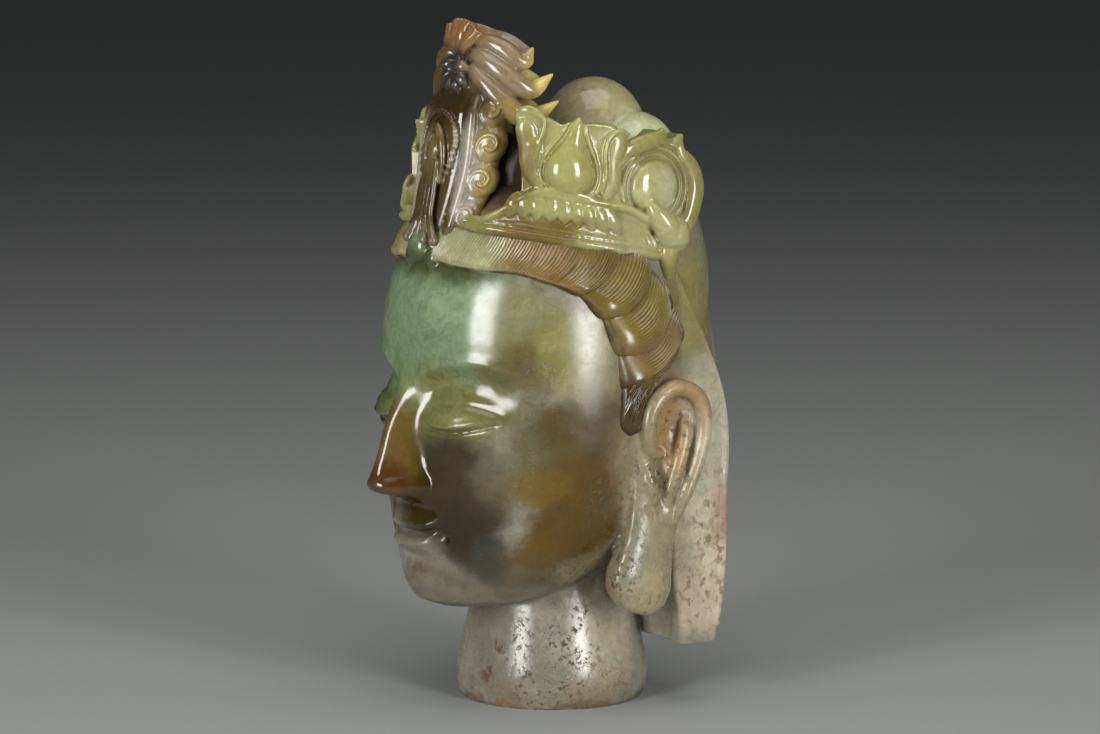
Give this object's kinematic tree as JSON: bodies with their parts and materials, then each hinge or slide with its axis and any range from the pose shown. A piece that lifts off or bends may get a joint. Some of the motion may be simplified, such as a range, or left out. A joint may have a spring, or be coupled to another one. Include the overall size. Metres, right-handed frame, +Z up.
{
  "type": "carved jade head",
  "caption": "Crowned head of a deity carved from one block of jade, with long ears, rolled hair and a veil, standing on its flat-cut neck.",
  "frame": {"origin": "centre of the flat underside of the neck, on the surface that the head stands on", "axes": "+Z up through the crown, the face towards -Y, +X to the head's own left"},
  "size_m": [0.0986, 0.1097, 0.1991],
  "materials": {
    "jade": "polished nephrite, olive to grey green, clouded and weathered pale at the ears, veil and neck"
  },
  "bodies": {
    "root": {"jade_head": "jade"}
  },
  "joints": []
}
